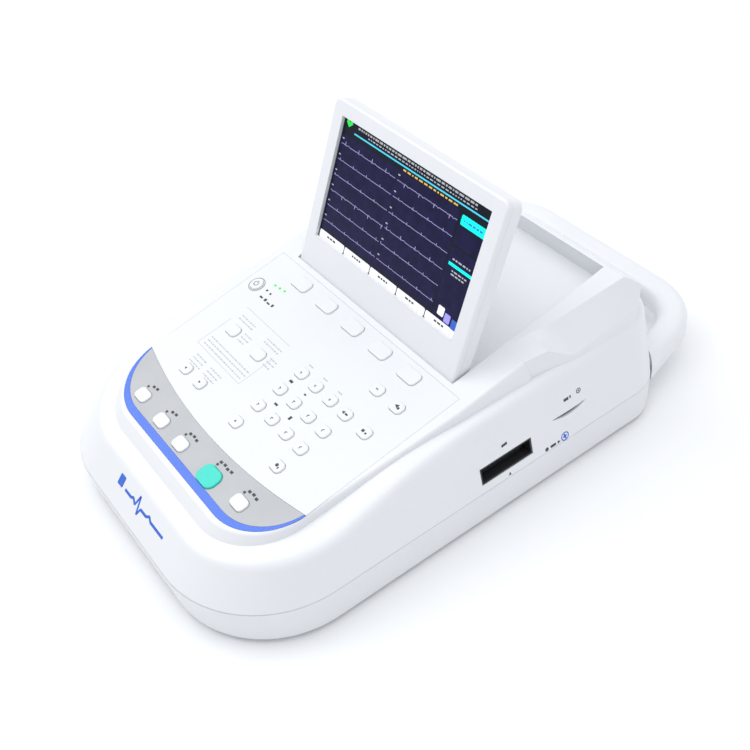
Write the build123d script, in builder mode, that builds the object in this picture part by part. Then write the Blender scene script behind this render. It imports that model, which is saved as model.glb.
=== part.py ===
from build123d import *
import os
from math import cos, pi, radians, sin, sqrt, tan

# Portable electrocardiograph with a tilting display, keypad deck, side recorder and rear handle.
# Units are millimetres. +X is the operator's right, +Y points to the back, +Z is up.
# The origin is the middle of the footprint, on the surface that the feet rest on.

os.makedirs("parts", exist_ok=True)

# ---------------------------------------------------------------- driving dimensions
FRONT_Y = -215.5  # foremost line of the case, at the seam
CASE_DEPTH = 361.0
REAR_Y = FRONT_Y + CASE_DEPTH
HINGE_Y = -12.5  # line where the display meets the keypad deck
HINGE_Z = 91.0
DECK_SLOPE = 10.5  # degrees, the deck rises towards the back
SCREEN_TILT = 66.8  # degrees above horizontal, display raised
WALL = 2.8
FOOT_H = 3.0
BASE_Z = FOOT_H
FLOOR_Z = BASE_Z + WALL
SEAM_Z = 30.0
SEAM_GAP = 0.2
TUB_TOP_Z = 100.0  # height at which the tub's drafted sides are set out

BASE_HALF = 129.5
SEAM_HALF = 130.0
TUB_HALF = 115.6
BASE_FRONT = FRONT_Y + 3.0
TUB_FRONT = FRONT_Y + 62.0
FRONT_R = 76.0
REAR_R = 32.0
RIDGE_R = 8.0
DECK_EDGE_R = 2.5
CONSOLE_HALF_FRONT = 95.5  # half width of the raised deck at its front corners
CONSOLE_HALF_REAR = 109.5
CONSOLE_FRONT = -169.0  # along the deck, from the hinge line
SIDE_FLARE = 0.21  # spread of the console's flank for each millimetre down
FRONT_FLARE = 1.5
CROWN_H = 50.0  # height and depth of the curve that rounds the console's back edge
CROWN_DEPTH = 43.0
# how the rear console's edge softens towards the back: distance behind the hinge line,
# half width of the flat top, half width at the shoulder's outer edge, drop to that edge
SHOULDER = (
    (40, 92, 110, 0.1),
    (48, 91, 110.8, 1.0),
    (56, 90, 112, 4.0),
    (64, 90, 113.5, 9.5),
    (72, 90, 115, 15.0),
    (84, 91, 116.3, 20.0),
    (104, 93, 117, 23.0),
    (163, 98, 117.5, 25.0),
)

SHEET_T = 0.6  # overlay, band and stripe, let into the deck
KEY_RISE = 1.3  # key tops above the overlay
KEY_TRAVEL = 0.8
KEY_GAP = 0.25
FLANGE_TOP = -3.0  # key flange, below the deck plate
FLANGE_LOW = -4.4
BOARD_TOP = -7.0
BOARD_T = 1.6

PANEL_HALF = 87.5
PANEL_TOP = 121.0  # along the display, from the hinge line
PANEL_FRONT = 7.0  # screen face in front of the hinge axis
PANEL_BACK = -6.0
SCREEN_W = 152.4
SCREEN_LOW = 22.8
SCREEN_HIGH = 110.8
WELL_HALF = 88.8
WELL_END = 130.0
WELL_DEPTH = 15.0

HANDLE_REAR_Y = -FRONT_Y
HANDLE_W = 22.0
HANDLE_LOW_Z = 15.0
HANDLE_TOP_Z = 38.0

DOOR_LOW_Z = 33.9  # recorder opening in the left wall
DOOR_TOP_Z = 69.0
DOOR_Y0 = -26.0
DOOR_Y1 = 86.0
DOOR_PIVOT_Z = 37.5
PLATEN_X = -105.0
PLATEN_Z = 60.0
PLATEN_R = 8.0
GEAR_MODULE = 0.8
GEAR_TEETH = 30
PINION_TEETH = 15
GEAR_Y = 86.5
GEAR_W = 5.0

CONNECTOR_X = 121.6  # face of the patient connector, in its recess
CONNECTOR_Y = -2.9
CONNECTOR_Z = 42.9
CARD_X = 124.4
CARD_Y = 52.5
CARD_Z = 51.6
INLET_X = 68.0
INLET_Z = 60.0
INLET_SEAT = 142.6

BRACKET_X = 68.0
NOTCH_BACK = -8.0
NOTCH_FRONT = 5.3
NOTCH_LOW = -8.0
NOTCH_HIGH = 6.5
BARREL_BORE_R = 2.55
BEZEL_BACK = 3.0
MODULE_HALF = 82.4
MODULE_BACK = -1.3
MODULE_TOP = 4.4
BARREL_R = 3.2
DOOR_PIVOT_X = -125.2
SHAFT_R = 3.0
PINION_X = PLATEN_X + GEAR_MODULE * (GEAR_TEETH + PINION_TEETH) / 2
MOTOR_Y1 = 81.0
MAIN_BOARD_Z = 18.0
BATTERY_X = 55.0
BATTERY_Y = -130.0

FEET = ((-98, -178), (98, -178), (-98, 118), (98, 118))
SCREWS = ((-60, -185), (60, -185), (-116, -110), (116, -110), (-112, 100), (112, 100))
BOARD_POSTS = ((-80, -128), (80, -128), (-14, -96), (-46.8, -15.6), (46.8, -15.6), (-48, -96), (69, -98))
MAIN_BOARD_POSTS = ((-15, -35), (101, -35), (-15, 65), (101, 65))
SUPPLY_POSTS = ((15, 82), (92, 82), (15, 128), (92, 128))

RISE = tan(radians(DECK_SLOPE))
DECK = Plane(
    origin=(0, HINGE_Y, HINGE_Z),
    x_dir=(1, 0, 0),
    z_dir=(0, -sin(radians(DECK_SLOPE)), cos(radians(DECK_SLOPE))),
)
# The hinge axis lies as far below the deck as it lies behind the raised screen face.
PIVOT_D = PANEL_FRONT * tan(radians(SCREEN_TILT - DECK_SLOPE) / 2)
PIVOT = DECK.from_local_coords(Vector(0, PIVOT_D, -PANEL_FRONT))
PANEL = Plane(
    origin=PIVOT,
    x_dir=(1, 0, 0),
    z_dir=(0, -sin(radians(SCREEN_TILT)), cos(radians(SCREEN_TILT))),
)
DECK_UP = Axis(DECK.origin, DECK.z_dir)
PANEL_UP = Axis(PANEL.origin, PANEL.z_dir)
# Distances along the panel are measured from the hinge line, which is this far above the axis.
PANEL_ZERO = PIVOT_D


def deck_z(y):
    """Height of the deck plane at a distance y."""
    return HINGE_Z + (y - HINGE_Y) * RISE


def wall_x(z):
    """Outer face of the drafted side wall at a height z above the seam."""
    return SEAM_HALF - (SEAM_HALF - TUB_HALF) * (z - SEAM_Z) / (TUB_TOP_Z - SEAM_Z)


# ---------------------------------------------------------------- case shape
def plan(height, half, front, rear, front_r, rear_r):
    """Rounded plan outline of the case on a level plane."""
    with BuildSketch(Plane.XY.offset(height)) as outline:
        with Locations((0, (front + rear) / 2)):
            Rectangle(2 * half, rear - front)
        fillet(outline.vertices().group_by(Axis.Y)[0], front_r)
        fillet(outline.vertices().group_by(Axis.Y)[-1], rear_r)
    return outline.sketch


def seam_plan(height, inset):
    """Outline of the case where its two halves meet."""
    return plan(
        height, SEAM_HALF - inset, FRONT_Y + inset, REAR_Y - inset, FRONT_R - inset, REAR_R - inset
    )


def tub(inset, drop):
    """Lower body of the top case: drafted walls under the ridge line."""
    low = SEAM_Z - 1
    with BuildPart() as body:
        top = plan(
            TUB_TOP_Z,
            TUB_HALF - inset,
            TUB_FRONT + inset,
            REAR_Y - 4 - inset,
            FRONT_R - 14 - inset,
            REAR_R - 4 - inset,
        )
        add(loft([seam_plan(SEAM_Z, inset), top], ruled=True, mode=Mode.PRIVATE))
        with BuildSketch(Plane.YZ.offset(-200)):
            with BuildLine():
                ridge = Spline(
                    (FRONT_Y - 10, HINGE_Z - 47 - drop),
                    (FRONT_Y + 21, HINGE_Z - 39 - drop),
                    (FRONT_Y + 83, HINGE_Z - 28 - drop),
                    (FRONT_Y + 145, HINGE_Z - 14 - drop),
                    (FRONT_Y + 225, HINGE_Z - 8 - drop),
                    (REAR_Y + 10, HINGE_Z - 1 - drop),
                )
                Polyline(ridge @ 1, (REAR_Y + 10, low), (FRONT_Y - 10, low), ridge @ 0)
            make_face()
        extrude(amount=400, mode=Mode.INTERSECT)
    return body.part


def deck_outline(depth, inset):
    """Outline of the raised deck, on a plane that lies a given depth below it."""
    side = depth * SIDE_FLARE - inset
    front = CONSOLE_FRONT - depth * FRONT_FLARE + inset
    with BuildSketch(DECK.offset(-depth)) as outline:
        with BuildLine():
            Polyline(
                (-CONSOLE_HALF_FRONT - side, front),
                (CONSOLE_HALF_FRONT + side, front),
                (CONSOLE_HALF_REAR + side, -15),
                (CONSOLE_HALF_REAR + side + 0.5, 41),
                (-CONSOLE_HALF_REAR - side - 0.5, 41),
                (-CONSOLE_HALF_REAR - side, -15),
                close=True,
            )
        make_face()
        fillet(outline.vertices().group_by(Axis.Y)[0], 46 + depth * 0.7 - inset)
    return outline.sketch


def console_front(inset, drop):
    """Raised deck in front of the display, with sloping flanks."""
    depth = 46
    with BuildPart() as body:
        add(loft([deck_outline(depth, inset), deck_outline(drop, inset)], ruled=True, mode=Mode.PRIVATE))
        with Locations((0, 0, SEAM_Z + 150)):
            Box(400, 800, 300, mode=Mode.INTERSECT)
        if drop == 0:
            rim = body.faces().sort_by(Axis.Z)[-1].edges().sort_by(Axis.Y)[:-1]
            fillet(rim, DECK_EDGE_R)
    return body.part


def shoulder_section(y, crease, corner, fall, inset, drop):
    """Cross-section of the rear console: flat to the crease, then down to the corner."""
    top = deck_z(y) - drop
    with BuildSketch(Plane.XZ.offset(-y)) as section:
        with BuildLine():
            Polyline(
                (0, top),
                (crease - inset, top),
                (corner - inset, top - fall),
                (corner - inset + 4, SEAM_Z + 24),
                (0, SEAM_Z + 24),
                close=True,
            )
        make_face()
    return section.sketch


def console_rear(inset, drop):
    """Rear console, whose flat flanks widen into shoulders behind a rounded back edge."""
    rear = REAR_Y - inset
    with BuildPart() as body:
        sections = [
            shoulder_section(HINGE_Y + 40, 92, 110, 0.1, inset, drop),
            shoulder_section(HINGE_Y + 57, 94, 112, 3, inset, drop),
            shoulder_section(HINGE_Y + 76, 99, 116, 19, inset, drop),
            shoulder_section(REAR_Y + 5, 109, 117, 24, inset, drop),
        ]
        add(loft(sections, ruled=True, mode=Mode.PRIVATE))
        mirror(about=Plane.YZ)
        add(extrude(plan(SEAM_Z, 121 - inset, FRONT_Y, rear - 2, 60, 44 - inset), 120, mode=Mode.PRIVATE), mode=Mode.INTERSECT)
        with BuildSketch(Plane.YZ.offset(-200)):
            with BuildLine():
                back = Spline(
                    (HINGE_Y + 130 - inset, deck_z(HINGE_Y + 130)),
                    (HINGE_Y + 142 - inset, HINGE_Z + 13),
                    (HINGE_Y + 150 - inset, HINGE_Z + 1),
                    (rear - 2, HINGE_Z - 18),
                )
                Polyline(back @ 1, (rear - 2, SEAM_Z), (0, SEAM_Z), (0, 200), (HINGE_Y + 130 - inset, 200), back @ 0)
            make_face()
        extrude(amount=400, mode=Mode.INTERSECT)
    return body.part



def case_solid():
    """Outer form of the top case, solid."""
    with BuildPart() as low:
        add(tub(0, 0))
        fillet(low.faces().sort_by(Axis.Z)[-1].edges(), RIDGE_R)
    with BuildPart() as solid:
        add(low.part)
        add(console_front(0, 0))
        add(console_rear(0, 0))
    return solid.part


def handle_bar(width, low, high, edge_r, start_y):
    """Bow handle: a rounded bar along a U-shaped level path that starts inside the case."""
    middle = HANDLE_REAR_Y - HANDLE_W / 2
    with BuildPart() as bar:
        with BuildLine(Plane.XY.offset((low + high) / 2)) as path:
            FilletPolyline(
                (-92 - 0.266 * (middle - start_y), start_y),
                (-92, middle),
                (92, middle),
                (92 + 0.266 * (middle - start_y), start_y),
                radius=42,
            )
        with BuildSketch(Plane(origin=path.line @ 0, x_dir=(1, 0, 0), z_dir=path.line % 0)):
            RectangleRounded(width, high - low, edge_r)
        sweep(path=path.line)
    return bar.part


def deck_box(x0, x1, d0, d1, low, high):
    """Block set out on the deck: across, along and above it."""
    with BuildPart() as block:
        with BuildSketch(DECK.offset(low)):
            with Locations(((x0 + x1) / 2, (d0 + d1) / 2)):
                Rectangle(x1 - x0, d1 - d0)
        extrude(amount=high - low)
    return block.part


def level_box(x0, x1, y0, y1, z0, z1):
    """Upright block between two corners."""
    with BuildPart() as block:
        with BuildSketch(Plane.XY.offset(z0)):
            with Locations(((x0 + x1) / 2, (y0 + y1) / 2)):
                Rectangle(x1 - x0, y1 - y0)
        extrude(amount=z1 - z0)
    return block.part


def rod_x(radius, x0, x1, y, z):
    """Round bar along X."""
    with BuildPart() as rod:
        with BuildSketch(Plane.YZ.offset(x0)):
            with Locations((y, z)):
                Circle(radius)
        extrude(amount=x1 - x0)
    return rod.part


def rod_y(radius, y0, y1, x, z):
    """Round bar along Y."""
    with BuildPart() as rod:
        with BuildSketch(Plane.XZ.offset(-y0)):
            with Locations((x, z)):
                Circle(radius)
        extrude(amount=-(y1 - y0))
    return rod.part


# ---------------------------------------------------------------- key layout, on the deck
# name: (across, along from the hinge line, width, depth, corner radius)
KEY_ROWS = {
    "hinge_row": -15.6,
    "power_row": -37.0,
    "row_a": -63.2,
    "row_b": -81.0,
    "row_c": -98.8,
    "row_d": -117.0,
    "mode_row": -74.7,
}
GRID_X = (6.2, 22.9, 39.6, 56.3, 77.0)
SMALL_KEY = (10.5, 8.4, 3.2)
KEYS = {}
for index in range(5):
    KEYS[f"key_soft_{index + 1}"] = (31.2 * (index - 2), KEY_ROWS["hinge_row"], 17.5, 10.5, 3.4)
KEYS["key_power"] = (-89.4, -38.1, 10.0, 10.0, 4.9)
KEYS["key_mode_1"] = (-64.6, KEY_ROWS["mode_row"], 12.5, 9.0, 3.4)
KEYS["key_mode_2"] = (-31.3, KEY_ROWS["mode_row"], 12.5, 9.0, 3.4)
for index, across in enumerate((-60.7, -41.6)):
    KEYS[f"key_shift_{index + 1}"] = (across, KEY_ROWS["row_d"], *SMALL_KEY)
for index, across in enumerate(GRID_X):
    KEYS[f"key_pad_a{index + 1}"] = (across, KEY_ROWS["row_a"], *SMALL_KEY)
for index, across in enumerate(GRID_X[:4]):
    KEYS[f"key_pad_b{index + 1}"] = (across, KEY_ROWS["row_b"], *SMALL_KEY)
    KEYS[f"key_pad_c{index + 1}"] = (across, KEY_ROWS["row_c"], *SMALL_KEY)
KEYS["key_pad_d1"] = (GRID_X[0], KEY_ROWS["row_d"], *SMALL_KEY)
KEYS["key_pad_d2"] = (GRID_X[3], KEY_ROWS["row_d"], *SMALL_KEY)
KEYS["key_edit_1"] = (GRID_X[3], KEY_ROWS["power_row"], *SMALL_KEY)
KEYS["key_edit_2"] = (GRID_X[4], KEY_ROWS["power_row"], *SMALL_KEY)
for index, place in enumerate(((-63.9, -151.0), (-33.9, -152.8), (-6.8, -153.2))):
    KEYS[f"key_band_{index + 1}"] = (*place, 13.0, 9.5, 3.4)
KEYS["key_start"] = (30.0, -152.8, 18.0, 14.0, 5.5)
KEYS["key_band_4"] = (61.2, -149.2, 13.0, 9.5, 3.4)


def key_holes(gap, low, high):
    """Holes through the deck for every key, a gap larger than the key all round."""
    with BuildPart() as holes:
        with BuildSketch(DECK.offset(low)):
            for across, along, width, depth, corner in KEYS.values():
                with Locations((across, along)):
                    RectangleRounded(width + 2 * gap, depth + 2 * gap, corner + gap)
        extrude(amount=high - low)
    return holes.part


# ---------------------------------------------------------------- sheets let into the deck
SHEET_HALF_FRONT = 98.6
SHEET_HALF_REAR = 101.0
SHEET_FRONT = -165.5
SHEET_REAR = -6.0
SHEET_R = 44.0
ARC_END = (-97.0, -124.5)  # where the overlay's curved front edge meets its sides
ARC_MIDDLE = (0.0, -136.0)
STRIPE_W = 5.6


def sheet_outline(inset, front_inset, rear):
    """Outline that the overlay, band and stripe fill together."""
    front = SHEET_FRONT + front_inset
    with BuildSketch(DECK) as outline:
        with BuildLine():
            Polyline(
                (-SHEET_HALF_FRONT + inset, front),
                (SHEET_HALF_FRONT - inset, front),
                (SHEET_HALF_REAR - inset, rear),
                (-SHEET_HALF_REAR + inset, rear),
                close=True,
            )
        make_face()
        fillet(outline.vertices().group_by(Axis.Y)[0], SHEET_R - front_inset / 2)
    return outline.sketch


def front_region(shift):
    """Region in front of the overlay's curved edge."""
    with BuildSketch(DECK) as region:
        with BuildLine():
            edge = ThreePointArc(
                (-ARC_END[0] + 20, ARC_END[1] + 4.5 - shift),
                (ARC_MIDDLE[0], ARC_MIDDLE[1] - shift),
                (ARC_END[0] - 20, ARC_END[1] + 4.5 - shift),
            )
            Polyline(edge @ 1, (-140, -200), (140, -200), edge @ 0)
        make_face()
    return region.sketch


def sheet(region, thickness):
    """Thin sheet of a given outline, its top level with the deck."""
    with BuildPart() as layer:
        add(extrude(region, -thickness, dir=DECK.z_dir, mode=Mode.PRIVATE))
    return layer.part


SHEET_GAP = 0.12
WHOLE_SHEET = sheet_outline(0, 0, SHEET_REAR)
INNER_SHEET = sheet_outline(1.0, STRIPE_W, SHEET_REAR)

with BuildPart() as keypad_overlay:
    add(sheet(WHOLE_SHEET, SHEET_T))
    add(sheet(front_region(-SHEET_GAP), 3 * SHEET_T), mode=Mode.SUBTRACT)
    add(key_holes(KEY_GAP, -2, 2), mode=Mode.SUBTRACT)
keypad_overlay.part.label = "keypad_overlay"
export_step(keypad_overlay.part, "parts/keypad_overlay.step")

with BuildPart() as start_band:
    add(sheet(INNER_SHEET, SHEET_T))
    add(sheet(front_region(SHEET_GAP), 3 * SHEET_T), mode=Mode.INTERSECT)
    add(key_holes(KEY_GAP, -2, 2), mode=Mode.SUBTRACT)
start_band.part.label = "start_band"
export_step(start_band.part, "parts/start_band.step")

with BuildPart() as trim_stripe:
    add(sheet(WHOLE_SHEET, SHEET_T))
    add(sheet(front_region(SHEET_GAP), 3 * SHEET_T), mode=Mode.INTERSECT)
    add(sheet(sheet_outline(1.0 - SHEET_GAP, STRIPE_W - SHEET_GAP, SHEET_REAR), 3 * SHEET_T), mode=Mode.SUBTRACT)
trim_stripe.part.label = "trim_stripe"
export_step(trim_stripe.part, "parts/trim_stripe.step")

for name, (across, along, width, depth, corner) in KEYS.items():
    with BuildPart() as key:
        with BuildSketch(DECK.offset(FLANGE_TOP)):
            with Locations((across, along)):
                RectangleRounded(width, depth, corner)
        extrude(amount=KEY_RISE - FLANGE_TOP)
        fillet(key.faces().sort_by(DECK_UP)[-1].edges(), 0.7)
        with BuildSketch(DECK.offset(FLANGE_LOW)):
            with Locations((across, along)):
                RectangleRounded(width + 1.6, depth + 1.6, corner + 0.8)
        extrude(amount=FLANGE_TOP - FLANGE_LOW)
    key.part.label = name
    export_step(key.part, f"parts/{name}.step")

# ---------------------------------------------------------------- display
def display_solid():
    """Outer form of the display: a slab over a round hinge barrel."""
    with BuildPart() as slab:
        with BuildSketch(PANEL.offset(PANEL_BACK)) as face:
            with Locations((0, (PANEL_ZERO + PANEL_TOP) / 2)):
                Rectangle(2 * PANEL_HALF, PANEL_ZERO + PANEL_TOP)
            fillet(face.vertices().group_by(Axis.Y)[-1], 6)
        extrude(amount=PANEL_FRONT - PANEL_BACK)
        fillet(slab.faces().sort_by(PANEL_UP)[-1].edges().sort_by(Axis.Z)[1:], 1.5)
        fillet(slab.faces().sort_by(PANEL_UP)[0].edges().sort_by(Axis.Z)[1:], 1.5)
        add(rod_x(PANEL_FRONT, -PANEL_HALF, PANEL_HALF, PIVOT.Y, PIVOT.Z))
        for side in (-1, 1):
            with BuildSketch(PANEL.offset(NOTCH_BACK)):
                with Locations((side * BRACKET_X, (NOTCH_LOW + NOTCH_HIGH) / 2)):
                    Rectangle(12, NOTCH_HIGH - NOTCH_LOW)
            extrude(amount=NOTCH_FRONT - NOTCH_BACK, mode=Mode.SUBTRACT)
    return slab.part


def panel_box(half, low, high, back, front):
    """Block set out on the display: half width, between two heights and two depths."""
    with BuildPart() as block:
        with BuildSketch(PANEL.offset(back)):
            with Locations((0, (low + high) / 2)):
                Rectangle(2 * half, high - low)
        extrude(amount=front - back)
    return block.part


DISPLAY = display_solid()
WINDOW_LOW = PANEL_ZERO + SCREEN_LOW
WINDOW_HIGH = PANEL_ZERO + SCREEN_HIGH
MODULE_LOW = WINDOW_LOW - 6
MODULE_HIGH = WINDOW_HIGH + 6

with BuildPart() as lcd_bezel:
    add(DISPLAY)
    add(panel_box(120, -20, 140, BEZEL_BACK, 20), mode=Mode.INTERSECT)
    add(panel_box(MODULE_HALF + 0.1, MODULE_LOW - 0.1, MODULE_HIGH + 0.1, 0, MODULE_TOP), mode=Mode.SUBTRACT)
    add(panel_box(SCREEN_W / 2, WINDOW_LOW, WINDOW_HIGH, 0, 20), mode=Mode.SUBTRACT)
lcd_bezel.part.label = "lcd_bezel"
export_step(lcd_bezel.part, "parts/lcd_bezel.step")

with BuildPart() as lcd_rear_cover:
    add(DISPLAY)
    add(panel_box(120, -20, 140, -20, BEZEL_BACK), mode=Mode.INTERSECT)
    add(panel_box(84, 12, 121.5, -4, BEZEL_BACK), mode=Mode.SUBTRACT)
    for across in (-60, 60):
        for along in (MODULE_LOW + 12, MODULE_HIGH - 12):
            with BuildSketch(PANEL.offset(-4)):
                with Locations((across, along)):
                    Circle(4)
            extrude(amount=4 + MODULE_BACK)
    for middle in (-BRACKET_X, BRACKET_X):
        add(rod_x(BARREL_BORE_R, middle - 14, middle + 14, PIVOT.Y, PIVOT.Z), mode=Mode.SUBTRACT)
lcd_rear_cover.part.label = "lcd_rear_cover"
export_step(lcd_rear_cover.part, "parts/lcd_rear_cover.step")

with BuildPart() as lcd_module:
    add(panel_box(MODULE_HALF, MODULE_LOW, MODULE_HIGH, MODULE_BACK, MODULE_TOP))
    add(panel_box(MODULE_HALF - 20, MODULE_LOW + 20, MODULE_HIGH - 20, MODULE_BACK - 1.6, MODULE_BACK))
lcd_module.part.label = "lcd_module"
export_step(lcd_module.part, "parts/lcd_module.step")

with BuildPart() as hinge_brackets:
    for side in (-1, 1):
        middle = side * BRACKET_X
        add(rod_x(4.8, middle - 5.5, middle + 5.5, PIVOT.Y, PIVOT.Z))
        add(rod_x(BARREL_BORE_R - 0.05, middle - 13.5, middle + 13.5, PIVOT.Y, PIVOT.Z))
        add(deck_box(middle - 5.5, middle + 5.5, PIVOT_D - 4.8, PIVOT_D + 4.8, -WELL_DEPTH - WALL, -PANEL_FRONT))
        add(deck_box(middle - 11, middle + 11, -3, 13, -WELL_DEPTH - WALL - 3, -WELL_DEPTH - WALL))
hinge_brackets.part.label = "hinge_brackets"
export_step(hinge_brackets.part, "parts/hinge_brackets.step")


# ---------------------------------------------------------------- recorder on the left
def door_skin():
    """Slice of the left wall that the recorder's door replaces."""
    with BuildPart() as skin:
        add(tub(0, 0))
        add(tub(2.5, 0), mode=Mode.SUBTRACT)
        add(
            level_box(-140, -110, DOOR_Y0 + 0.4, DOOR_Y1 - 0.4, DOOR_PIVOT_Z, DOOR_TOP_Z - 0.7),
            mode=Mode.INTERSECT,
        )
    return skin.part


with BuildPart() as recorder_door:
    add(door_skin())
    add(rod_y(BARREL_R, DOOR_Y0 + 0.4, DOOR_Y1 - 0.4, DOOR_PIVOT_X, DOOR_PIVOT_Z))
    for place in (DOOR_Y0, DOOR_Y1 - 4.4):
        add(rod_y(1.27, place, place + 4.4, DOOR_PIVOT_X, DOOR_PIVOT_Z), mode=Mode.SUBTRACT)
recorder_door.part.label = "recorder_door"
export_step(recorder_door.part, "parts/recorder_door.step")

with BuildPart() as recorder_frame:
    add(level_box(-117, -40, -24, 84, 33, 35))
    for low_y in (-24, 81):
        add(level_box(-117, -40, low_y, low_y + 3, 35, 74))
    add(level_box(-42, -40, -21, 81, 35, 60))
    add(level_box(-113, -97, -21, 81, 71, 74))
    for across in (-108, -48):
        for along in (-16, 76):
            with BuildSketch(Plane.XY.offset(FLOOR_Z)):
                with Locations((across, along)):
                    Circle(4)
            extrude(amount=33 - FLOOR_Z)
    add(rod_y(SHAFT_R + 0.06, -30, 90, PLATEN_X, PLATEN_Z), mode=Mode.SUBTRACT)
    add(rod_y(3.2, 80, 90, PINION_X, PLATEN_Z), mode=Mode.SUBTRACT)
recorder_frame.part.label = "recorder_frame"
export_step(recorder_frame.part, "parts/recorder_frame.step")

with BuildPart() as platen_roller:
    add(rod_y(PLATEN_R, -19, 79, PLATEN_X, PLATEN_Z))
    add(rod_y(SHAFT_R, -24.5, 92.5, PLATEN_X, PLATEN_Z))
platen_roller.part.label = "platen_roller"
export_step(platen_roller.part, "parts/platen_roller.step")


def spur_gear(teeth, across, bore, turn):
    """Spur gear with straight-flanked teeth and easy clearance, facing along Y."""
    pitch_r = GEAR_MODULE * teeth / 2
    pitch = pi * GEAR_MODULE
    root_r = pitch_r - 0.9
    with BuildPart() as gear:
        with BuildSketch(Plane.XZ.offset(-GEAR_Y)):
            with Locations((across, PLATEN_Z)):
                Circle(root_r)
                with PolarLocations(root_r, teeth, start_angle=turn):
                    Polygon(
                        (-0.2, -0.25 * pitch),
                        (1.5, -0.11 * pitch),
                        (1.5, 0.11 * pitch),
                        (-0.2, 0.25 * pitch),
                        align=None,
                    )
                Circle(bore, mode=Mode.SUBTRACT)
        extrude(amount=-GEAR_W)
    return gear.part


with BuildPart() as platen_gear:
    add(spur_gear(GEAR_TEETH, PLATEN_X, SHAFT_R, 0))
platen_gear.part.label = "platen_gear"
export_step(platen_gear.part, "parts/platen_gear.step")

with BuildPart() as motor_pinion:
    add(spur_gear(PINION_TEETH, PINION_X, 1.5, 0))
    add(rod_y(1.5, MOTOR_Y1 - 10, GEAR_Y + GEAR_W + 1, PINION_X, PLATEN_Z))
motor_pinion.part.label = "motor_pinion"
export_step(motor_pinion.part, "parts/motor_pinion.step")

with BuildPart() as feed_motor:
    add(rod_y(9, MOTOR_Y1 - 23, MOTOR_Y1, PINION_X, PLATEN_Z))
    fillet(feed_motor.faces().sort_by(Axis.Y)[0].edges(), 1)
    add(rod_y(1.56, MOTOR_Y1 - 11, MOTOR_Y1, PINION_X, PLATEN_Z), mode=Mode.SUBTRACT)
    add(level_box(PINION_X - 6, PINION_X + 6, MOTOR_Y1 - 27, MOTOR_Y1 - 23, 57, 63))
feed_motor.part.label = "feed_motor"
export_step(feed_motor.part, "parts/feed_motor.step")

with BuildPart() as thermal_head:
    add(level_box(-111, -99, -16, 76, 69.4, 71))
    add(level_box(-107, -103, -16, 76, 68.3, 69.4))
thermal_head.part.label = "thermal_head"
export_step(thermal_head.part, "parts/thermal_head.step")

with BuildPart() as paper_pack:
    add(level_box(-108, -48, -20, 80, 35, 50))
    fillet(paper_pack.edges().filter_by(Axis.Y), 1)
paper_pack.part.label = "paper_pack"
export_step(paper_pack.part, "parts/paper_pack.step")

# ---------------------------------------------------------------- electronics and power
with BuildPart() as keypad_board:
    add(extrude(sheet_outline(6, 6, -9.5), -BOARD_T, dir=DECK.z_dir, mode=Mode.PRIVATE).moved(Location(DECK.z_dir * BOARD_TOP)))
    with BuildSketch(DECK.offset(BOARD_TOP)):
        for across, along, width, depth, corner in KEYS.values():
            with Locations((across, along)):
                Circle(3)
    extrude(amount=FLANGE_LOW - KEY_TRAVEL - BOARD_TOP)
    with BuildSketch(DECK.offset(BOARD_TOP - BOARD_T)):
        with Locations(*BOARD_POSTS):
            Circle(1.55)
    extrude(amount=BOARD_T, mode=Mode.SUBTRACT)
keypad_board.part.label = "keypad_board"
export_step(keypad_board.part, "parts/keypad_board.step")

with BuildPart() as main_board:
    add(level_box(-20, 106, -40, 70, MAIN_BOARD_Z, MAIN_BOARD_Z + BOARD_T))
    add(level_box(0, 22, -10, 12, MAIN_BOARD_Z + BOARD_T, MAIN_BOARD_Z + 4))
    add(level_box(40, 56, 10, 26, MAIN_BOARD_Z + BOARD_T, MAIN_BOARD_Z + 4))
    add(level_box(70, 96, -32, -20, MAIN_BOARD_Z + BOARD_T, MAIN_BOARD_Z + 9))
main_board.part.label = "main_board"
export_step(main_board.part, "parts/main_board.step")

with BuildPart() as connector_shroud:
    add(tub(0.3, 0))
    add(
        level_box(CONNECTOR_X - 1.6, 140, CONNECTOR_Y - 21.3, CONNECTOR_Y + 21.3, CONNECTOR_Z - 6.3, CONNECTOR_Z + 6.3),
        mode=Mode.INTERSECT,
    )
    add(
        level_box(110, 140, CONNECTOR_Y - 20.2, CONNECTOR_Y + 20.2, CONNECTOR_Z - 5.2, CONNECTOR_Z + 5.2),
        mode=Mode.SUBTRACT,
    )
CONNECTOR_SHROUD = connector_shroud.part

with BuildPart() as patient_connector:
    add(level_box(CONNECTOR_X - 7, CONNECTOR_X - 1.6, CONNECTOR_Y - 20.5, CONNECTOR_Y + 20.5, CONNECTOR_Z - 6, CONNECTOR_Z + 6))
    with BuildSketch(Plane.YZ.offset(CONNECTOR_X - 1.6)):
        with Locations((CONNECTOR_Y, CONNECTOR_Z)):
            RectangleRounded(36, 9.6, 3)
    extrude(amount=1.6)
    for side in (-1, 1):
        with BuildSketch(Plane.YZ.offset(CONNECTOR_X - 1.6)):
            with Locations((CONNECTOR_Y + side * 19.2, CONNECTOR_Z)):
                Circle(1.2)
        extrude(amount=1.2)
    with BuildSketch(Plane.YZ.offset(CONNECTOR_X)):
        with Locations((CONNECTOR_Y, CONNECTOR_Z + 1.9)):
            with GridLocations(3.6, 1, 8, 1):
                Circle(0.8)
        with Locations((CONNECTOR_Y, CONNECTOR_Z - 1.9)):
            with GridLocations(3.6, 1, 7, 1):
                Circle(0.8)
    extrude(amount=-5, mode=Mode.SUBTRACT)
    add(CONNECTOR_SHROUD)
patient_connector.part.label = "patient_connector"
export_step(patient_connector.part, "parts/patient_connector.step")

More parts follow.
